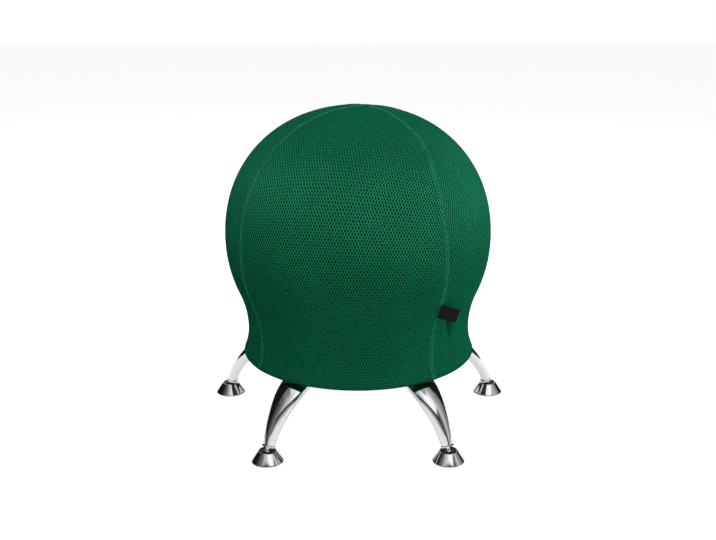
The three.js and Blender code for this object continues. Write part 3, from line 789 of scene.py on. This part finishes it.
def measured(points):
    """Running length along a line of points."""
    lengths = [0.0]
    for (r0, z0), (r1, z1) in zip(points, points[1:]):
        lengths.append(lengths[-1] + hypot(r1 - r0, z1 - z0))
    return lengths


def point_at(points, lengths, length):
    """Point at a running length along a line of points."""
    index = min(max(bisect_right(lengths, length) - 1, 0), len(points) - 2)
    share = (length - lengths[index]) / (lengths[index + 1] - lengths[index])
    (r0, z0), (r1, z1) = points[index], points[index + 1]
    return r0 + (r1 - r0) * share, z0 + (z1 - z0) * share


def spaced(points, pitch):
    """Points evenly spaced along a line, at about a pitch."""
    lengths = measured(points)
    count = round(lengths[-1] / pitch)
    return [point_at(points, lengths, lengths[-1] * i / count) for i in range(count + 1)]


OUTLINE = outline_of(0.0, RIM_HEIGHT + HEM_FABRIC)
OUTLINE_LENGTHS = measured(OUTLINE)
FULL_LENGTH = OUTLINE_LENGTHS[-1]


def hem_outline():
    """Points (radius, height) of the turned-in hem, from the cover's lower edge round its channel."""
    rim = skirt_radius(RIM_HEIGHT, 0)
    bend = HEM_FABRIC / 2
    lip, channel = NECK_RADIUS + bend, NECK_RADIUS + HEM_CHANNEL
    lower, upper = RIM_HEIGHT + HEM_FABRIC, RIM_HEIGHT + HEM_HEIGHT - HEM_FABRIC
    return [
        (rim - 0.45, RIM_HEIGHT + 0.55), (rim - 1.5, RIM_HEIGHT), (lip, RIM_HEIGHT),
        (NECK_RADIUS, RIM_HEIGHT + bend), (lip, lower),
        (channel - HEM_CORNER, lower), (channel, lower + HEM_CORNER),
        (channel, upper - HEM_CORNER), (channel - HEM_CORNER, upper),
        (lip, upper), (NECK_RADIUS, upper + bend), (lip, RIM_HEIGHT + HEM_HEIGHT),
    ]


# Gores, seams and the crease

def crowded(azimuth):
    """Draws the mesh columns closer together at the crease under the label tab."""
    off = azimuth - CREASE_AZIMUTH
    if abs(off) >= CROWD_LIMIT:
        return azimuth
    return azimuth - CROWD_PULL * off / CROWD_REACH * exp(-((off / CROWD_REACH) ** 2))


def column_azimuths():
    """Azimuth in degrees of every mesh column; columns crowd towards the seams."""
    near = (0, 0.2, 0.42, 0.7, 1.05, 1.5, 2.2)
    azimuths = []
    for first, width, count in GORES:
        inner = count - 2 * (len(near) - 1)
        step = (width - 2 * near[-1]) / inner
        azimuths += [first + a for a in near]
        azimuths += [crowded(first + near[-1] + step * i) for i in range(1, inner)]
        azimuths += [first + width - a for a in reversed(near[1:])]
    return azimuths


AZIMUTHS = column_azimuths()


def column_at(vert):
    """Mesh column of a vertex that is still where it was spun; none on the axis."""
    x, y, _ = vert.co
    on_axis = hypot(x, y) < 10 * MERGE
    return None if on_axis else round(atan2(y, x) / (2 * pi) * COLUMNS) % COLUMNS


def gore_of(column):
    """The gore that a mesh column belongs to."""
    for gore in GORES:
        if column < gore[2]:
            return gore
        column -= gore[2]


def towards_sewn_pole(x, y, height, inset=0.0):
    """The crown's fabric is shifted so that its seams meet beside the axis."""
    radius = hypot(x, y)
    if height < WIDEST_HEIGHT:
        return x, y, height
    near, far = POLE_EASE
    share = min(max((far - radius) / (far - near), 0), 1)
    share = share * share * (3 - 2 * share)
    x += SEWN_POLE.x * share
    y += SEWN_POLE.y * share
    height += crown_height(hypot(x, y), inset) - crown_height(radius, inset)
    return x, y, height


def on_cover(azimuth, length):
    """Point on the cover's outside, in mm, at an azimuth in degrees and a length from the top."""
    radius, height = point_at(OUTLINE, OUTLINE_LENGTHS, length)
    a = radians(azimuth)
    return Vector(towards_sewn_pole(radius * sin(a), -radius * cos(a), height))


def on_cover_frame(azimuth, length, aside):
    """Point beside a meridian and the directions there: down the meridian, sideways, outwards."""
    radius = max(point_at(OUTLINE, OUTLINE_LENGTHS, length)[0], 1.0)
    azimuth += degrees(aside / radius)
    here = on_cover(azimuth, length)
    above, below = on_cover(azimuth, length - 1), on_cover(azimuth, min(length + 1, FULL_LENGTH))
    down = (below - above).normalized()
    sideways = (on_cover(azimuth + degrees(1 / radius), length) - here).normalized()
    return here, down, sideways, down.cross(sideways).normalized()


def seam_relief(distance):
    """How far the fabric stands out beside a seam, in mm."""
    ridge = 0.45 * exp(-(((distance - 2.8) / 2.2) ** 2))
    groove = 0.25 * exp(-((distance / 1.2) ** 2))
    return ridge - groove


def tab_crease(azimuth, radius, height):
    """Crease below the label tab: how far the fabric stands out in mm, and how much painted shade
    darkens it.
    """
    if not CREASE_FOOT < height < CREASE_TOP:
        return 0.0, 0.0
    risen = height - CREASE_FOOT
    bent = max(height - CREASE_BEND, 0) / (CREASE_TOP - CREASE_BEND)
    share = min(risen / 20, 1) * min((CREASE_TOP - height) / 14, 1)
    middle = 52.8 - 0.087 * risen - 9 * bent**2
    half_width = (1.8 + 0.19 * risen) * (1 - 0.65 * bent)
    aside = radius * radians(azimuth - middle) / half_width
    hollow = share * exp(-(aside**2))
    bulge = share * exp(-((abs(aside) - 2.0) ** 2))
    return CREASE_BULGE * bulge - CREASE_DEPTH * hollow, 0.75 * hollow


# What a vertex keeps: length from the top, inset of the inside, distance to the seam, painted shade in
# the crease
COVER_LAYERS = ("along", "inset", "seam", "fold")


def lay_lattice(bm, column_of):
    """Lays the lattice of holes over each gore, from the hem up and from its middle sideways."""
    along = bm.verts.layers.float["along"]
    lattice = bm.loops.layers.uv["lattice"]
    for face in bm.faces:
        columns = sorted({column_of[vert] for vert in face.verts if column_of[vert] is not None})
        first = columns[-1] if columns[-1] - columns[0] > 1 else columns[0]
        gore_first, gore_width, _ = gore_of(first)
        for loop in face.loops:
            column = first if column_of[loop.vert] is None else column_of[loop.vert]
            off = radians((AZIMUTHS[column] - gore_first - gore_width / 2 + 180) % 360 - 180)
            radius = hypot(loop.vert.co.x, loop.vert.co.y) / MM
            height = loop.vert.co.z / MM
            spread = off - GORE_NARROWING * off**3 / (3 * (pi / 4) ** 2)
            sag = ROW_SAG * max(height - SAG_START, 0) * radius * off**2 / 2
            rise = FULL_LENGTH - loop.vert[along] + sag
            loop[lattice].uv = (radius * spread / HOLE_PITCH, rise / ROW_PITCH)


def shape_gores(bm, column_of):
    """Turns each column to its azimuth, and shapes the seams, the crease and the crown."""
    along, inset, seam, fold = (bm.verts.layers.float[name] for name in COVER_LAYERS)
    bm.normal_update()
    for vert in bm.verts:
        column = column_of[vert] or 0
        x, y, z = vert.co / MM
        radius = hypot(x, y)
        azimuth = AZIMUTHS[column]
        gore_first, gore_width, _ = gore_of(column)
        distance = radius * radians(min(azimuth - gore_first, gore_first + gore_width - azimuth))
        vert[seam] = min(distance, 30.0)
        # fold holds the crease's painted shade, which only darkens the colour
        proud, vert[fold] = tab_crease(azimuth, radius, z)
        if vert[inset] == 0 and vert[along] < FULL_LENGTH + 2:
            proud += seam_relief(distance)
        spot = Vector((x, y, z)) + vert.normal * proud
        spot.rotate(Matrix.Rotation(radians(azimuth) - pi / 2 - column * 2 * pi / COLUMNS, 3, "Z"))
        vert.co = Vector(towards_sewn_pole(*spot, vert[inset])) * MM


def cover():
    """Sewn cover with its hem, as one closed skin."""
    outside = spaced(OUTLINE, OUTSIDE_PITCH)
    hem = hem_outline()
    inside = spaced(outline_of(COVER_THICKNESS, RIM_HEIGHT + HEM_HEIGHT), INSIDE_PITCH)
    outline = outside + hem + inside[::-1]
    bm = bmesh.new()
    for name in COVER_LAYERS:
        bm.verts.layers.float.new(name)
    along, inset, _, _ = (bm.verts.layers.float[name] for name in COVER_LAYERS)
    bm.loops.layers.uv.new("lattice")
    corners, lines = traced(bm, outline)
    for corner, length in zip(corners, measured(outline)):
        corner[along] = length
    for corner in corners[len(outside) + len(hem):]:
        corner[inset] = COVER_THICKNESS
    spun(bm, corners, lines, COLUMNS)
    column_of = {vert: column_at(vert) for vert in bm.verts}
    lay_lattice(bm, column_of)
    shape_gores(bm, column_of)
    made = piece("mesh_cover", centred(bm), MESH_FABRIC, "stool", "green_mesh", "cover", crease=0)


def seam_stitches():
    """Two rows of stitches along each seam."""
    bm = bmesh.new()
    size = Matrix.Diagonal((*STITCH_HALF_SIZES, 1))
    for first, _, _ in GORES:
        for side in (-1, 1):
            slant = Matrix.Rotation(radians(STITCH_SLANT * side), 4, "Z")
            length = 10.0
            while length < FULL_LENGTH - 3:
                here, down, sideways, outwards = on_cover_frame(first, length, side * STITCH_ASIDE)
                spot = Matrix((sideways, down, outwards)).transposed().to_4x4()
                spot.translation = here + outwards * STITCH_PROUD
                matrix = Matrix.Scale(MM, 4) @ spot @ slant @ size
                bmesh.ops.create_icosphere(bm, subdivisions=1, radius=1, matrix=matrix)
                length += STITCH_PITCH
    piece("seam_stitches", centred(bm), THREAD, "stool", "green_mesh", crease=0)


# Label tab

def label_tab():
    """Tape folded at its outer end and sewn into the front right seam."""
    lean = asin((TAB_RISE - NECK_RISE) / WAIST_RADIUS)
    radius = WAIST_MIDDLE - WAIST_RADIUS * cos(lean) + TAB_STAND_OFF
    upright = Vector((0, 0, 1))
    outwards = Vector((sin(TAB_SEAM), -cos(TAB_SEAM), 0))
    up_seam = outwards * sin(lean) + upright * cos(lean)
    away = Vector((sin(TAB_AZIMUTH), -cos(TAB_AZIMUTH), 0)) * cos(TAB_DROOP) - upright * sin(TAB_DROOP)
    face = away.cross(up_seam).normalized()
    foot = outwards * radius + upright * (RIM_HEIGHT + TAB_RISE) + up_seam * TAB_SHIFT
    under, over = 0.25, 1.35
    straight = (0, 6, 12, 18, 24, 30, TAPE_LENGTH - 2.5)
    fold = [(x, under) for x in straight]
    fold += [(TAPE_LENGTH - 0.8, 0.35), (TAPE_LENGTH, 0.8), (TAPE_LENGTH - 0.8, 1.25)]
    fold += [(x, over) for x in reversed(straight)]
    bm = bmesh.new()
    line = [bm.verts.new((x, 0, y)) for x, y in fold]
    edges = [bm.edges.new(pair) for pair in zip(line, line[1:])]
    for _ in range(TAPE_STEPS):
        fresh, edges = extruded(bm, edges)
        bmesh.ops.translate(bm, vec=(0, TAPE_WIDTH / TAPE_STEPS, 0), verts=fresh)
    layer = bm.loops.layers.uv.new("tape")
    for part in bm.faces:
        for loop in part.loops:
            loop[layer].uv = (loop.vert.co.x, loop.vert.co.y)
    facing_out(bm)
    bmesh.ops.solidify(bm, geom=bm.faces[:], thickness=TAPE_THICKNESS)
    for vert in bm.verts:
        x, y, z = vert.co
        vert.co = (foot + away * x + up_seam * y + face * (z - TAPE_CURL * x * x)) * MM
    piece("folded_label_tape", centred(bm), TAPE, "stool", "label_tape", "label_tab")


cover()
seam_stitches()
label_tab()
pan_rim()
pan_disc()
hem_cord()
for place in PLACES:
    leg(place)
    foot_collar(place)
    glide_stem(place)
    bell(place)
    floor_pad(place)
    glide_socket(place)
    leg_end_cap(place)
    leg_bolt(place, 1)
    leg_bolt(place, 2)
for node, material in (("ball", VINYL), ("valve_plug", PLUG_PLASTIC)):
    frame["nodes"][node].data.materials.clear()
    frame["nodes"][node].data.materials.append(material)


# Studio, in metres, with azimuths and elevations in degrees

FLOOR_HALF = 6
FLOOR_GLOW, MIRRORED_FLOOR_GLOW = 0.76, 0.5
SKY_LIGHT = 0.22
LAMP_AIM, LAMP_DISTANCE = 0.32, 2.2
CARD_AIM = 0.1


def floor():
    """Pale floor that reads as white where it is lit and keeps a faint shadow."""
    bm = bmesh.new()
    bmesh.ops.create_grid(bm, x_segments=1, y_segments=1, size=FLOOR_HALF)
    material, tree = finish("white_floor", (0.6, 0.6, 0.6, 1), 0.9)
    path = wired(tree, "ShaderNodeLightPath").outputs
    seen = reckoned(tree, "MAXIMUM", path["Is Camera Ray"], path["Is Transmission Ray"])
    seen = times(tree, seen, FLOOR_GLOW)
    strength = reckoned(tree, "MULTIPLY_ADD", path["Is Glossy Ray"], MIRRORED_FLOOR_GLOW, seen)
    glow = wired(tree, "ShaderNodeEmission", {"Color": (1, 1, 1, 1), "Strength": strength})
    lit = tree.nodes["Principled BSDF"].outputs[0]
    both = wired(tree, "ShaderNodeAddShader", {0: lit, 1: glow.outputs[0]})
    tree.links.new(both.outputs[0], tree.nodes["Material Output"].inputs[0])
    shown("studio_floor", bm, material)


def world():
    """White surroundings that light the chair only a little."""
    sky = bpy.data.worlds.new("studio")
    bpy.context.scene.world = sky
    sky.use_nodes = True
    tree = sky.node_tree
    path = wired(tree, "ShaderNodeLightPath").outputs
    seen = reckoned(tree, "MAXIMUM", path["Is Camera Ray"], path["Is Glossy Ray"])
    seen = reckoned(tree, "MAXIMUM", seen, path["Is Transmission Ray"])
    background = tree.nodes["Background"]
    background.inputs["Color"].default_value = (1, 1, 1, 1)
    tree.links.new(eased(tree, seen, 0, 1, SKY_LIGHT, 1.0), background.inputs["Strength"])


def bearing(azimuth, elevation):
    """Direction from the chair, and the turn of what stands there and faces the chair."""
    a, e = radians(azimuth), radians(elevation)
    back = Vector((sin(a) * cos(e), -cos(a) * cos(e), sin(e)))
    return back, (-back).to_track_quat("-Z", "Y")


def lamp(name, azimuth, elevation, size, power, mirrored=True):
    """Soft square lamp that looks at the ball's middle."""
    back, turn = bearing(azimuth, elevation)
    light = bpy.data.lights.new(name, "AREA")
    light.energy = power
    light.size = size
    made = linked(name, light)
    made.location = AXIS + Vector((0, 0, LAMP_AIM)) + back * LAMP_DISTANCE
    made.rotation_mode = "QUATERNION"
    made.rotation_quaternion = turn
    made.visible_glossy = mirrored


def ramped(tree, value, levels):
    """Eases through grey levels given as (place, level), places from 0 to 1."""
    ramp = wired(tree, "ShaderNodeValToRGB", {0: value})
    ramp.color_ramp.interpolation = "EASE"
    stops = ramp.color_ramp.elements
    for index, (place, level) in enumerate(levels):
        stop = stops[index] if index < 2 else stops.new(place)
        stop.position = place
        stop.color = (level, level, level, 1)
    return ramp.outputs[0]


def card(name, azimuth, elevation, distance, width, height, across, upwards=((0, 1), (1, 1))):
    """Card that only reflections see, facing the chair, with grey levels across it and up it."""
    back, turn = bearing(azimuth, elevation)
    turn = turn.to_matrix().to_4x4()
    spot = Matrix.Translation(AXIS + Vector((0, 0, CARD_AIM)) + back * distance)
    size = Matrix.Diagonal((width / 2, height / 2, 1, 1))
    bm = bmesh.new()
    bmesh.ops.create_grid(bm, x_segments=1, y_segments=1, size=1, matrix=spot @ turn @ size)
    shade = bm.loops.layers.uv.new("shade")
    sideways, risen = turn @ Vector((1, 0, 0)), turn @ Vector((0, 1, 0))
    for loop in bm.faces[:][0].loops:
        off = loop.vert.co - spot.translation
        loop[shade].uv = (0.5 + off.dot(sideways) / width, 0.5 + off.dot(risen) / height)
    material, tree = finish(name, (0, 0, 0, 1), 1.0)
    aside, up = laid(tree, "shade")
    inputs = {"Color": ramped(tree, aside, across), "Strength": ramped(tree, up, upwards)}
    glow = wired(tree, "ShaderNodeEmission", inputs)
    tree.links.new(glow.outputs[0], tree.nodes["Material Output"].inputs[0])
    made = shown(name, bm, material)
    made.visible_camera = False
    made.visible_diffuse = False
    made.visible_shadow = False
    made.visible_transmission = False


def camera():
    """The photograph's view: a pinhole fitted to it."""
    down, roll, yaw = radians(17.74), radians(-0.257), radians(0.48)
    place = Vector((-0.30, -2014.1, 924.7)) * MM
    sensor_width, photo_width, focal_pixels = 36, 716, 1143.5
    forwards = Vector((0, cos(down), -sin(down)))
    up = Vector((0, sin(down), cos(down)))
    right = Vector((1, 0, 0))
    across = right * cos(roll) + up * sin(roll)
    upwards = up * cos(roll) - right * sin(roll)
    matrix = Matrix((across, upwards, -forwards)).transposed().to_4x4()
    matrix.translation = place
    data = bpy.data.cameras.new("photo_view")
    data.sensor_width = sensor_width
    data.lens = focal_pixels * sensor_width / photo_width
    made = linked("photo_view", data)
    made.matrix_world = Matrix.Translation(AXIS) @ Matrix.Rotation(yaw, 4, "Z") @ matrix
    bpy.context.scene.camera = made


floor()
world()
camera()

# Lamps, each with azimuth, elevation, size and power
lamp("front_lamp", 20, 18, 0.9, 15, mirrored=False)
lamp("right_lamp", 80, 18, 1.2, 17)
lamp("right_edge_lamp", 124, 5, 1.2, 20, mirrored=False)
lamp("left_lamp", -60, 40, 1.2, 11)
lamp("top_lamp", -60, 76, 1.4, 16)
lamp("back_lamp", 172, 46, 1.4, 21)

# Cards, each with azimuth, elevation, distance, width and height, and levels as (place, level)
card(
    "left_black_card", -114, 28, 1.6, 1.9, 2.2,
    across=((0, 0.03), (0.1, 0.01), (0.9, 0.01), (1, 0.02)),
)
card(
    "right_black_card", 128, 28, 1.6, 1.34, 2.4,
    across=((0, 0.12), (0.07, 0.03), (0.2, 0.01), (0.9, 0.01), (1, 0.03)),
)
card(
    "front_left_card", -63, 17, 1.6, 1.25, 1.3,
    across=((0, 0.02), (0.25, 0.05), (0.45, 0.09), (0.68, 0.18), (1, 0.26)),
)
card(
    "front_right_card", 74, 17, 1.6, 2.12, 1.3,
    across=(
        (0, 0.08), (0.2, 0.12), (0.34, 0.5), (0.45, 0.7),
        (0.58, 0.42), (0.75, 0.28), (0.94, 0.22), (1, 0.12),
    ),
)
card(
    "upper_left_card", -62, 46, 1.75, 1.1, 0.95,
    across=((0, 0.2), (0.5, 0.24), (0.75, 0.38), (1, 0.5)),
    upwards=((0, 0.2), (0.45, 0.6), (0.7, 1), (1, 1)),
)
card(
    "upper_right_card", 73, 50, 1.75, 1.3, 0.72,
    across=((0, 1.25), (0.23, 1.1), (0.36, 0.75), (0.53, 0.5), (0.76, 0.42), (0.92, 0.2), (1, 0.1)),
    upwards=((0, 0.8), (0.3, 1), (1, 1)),
)
card(
    "low_front_card", 0, 25, 1.8, 3.2, 0.74,
    across=(
        (0, 0.27), (0.12, 0.27), (0.3, 0.85), (0.42, 1),
        (0.55, 0.9), (0.7, 0.55), (0.82, 0.32), (1, 0.2),
    ),
    upwards=((0, 1.1), (0.28, 0.65), (0.45, 0.45), (0.58, 0.3), (0.72, 0.1), (0.85, 0.05), (1, 0.05)),
)
card(
    "high_front_card", 0, 48.5, 1.86, 2.35, 0.84,
    across=(
        (0, 0.45), (0.1, 0.5), (0.2, 0.62), (0.35, 0.72), (0.47, 0.95),
        (0.58, 1.25), (0.7, 1.35), (0.85, 1.35), (1, 1.2),
    ),
    upwards=((0, 0.15), (0.06, 0.4), (0.16, 1), (1, 1)),
)
card(
    "ceiling_card", 0, 76, 1.9, 3, 1.25,
    across=((0, 0.5), (0.3, 0.95), (0.42, 1.1), (0.5, 0.6), (0.6, 0.45), (1, 0.45)),
)
bpy.context.scene.view_settings.view_transform = "Standard"
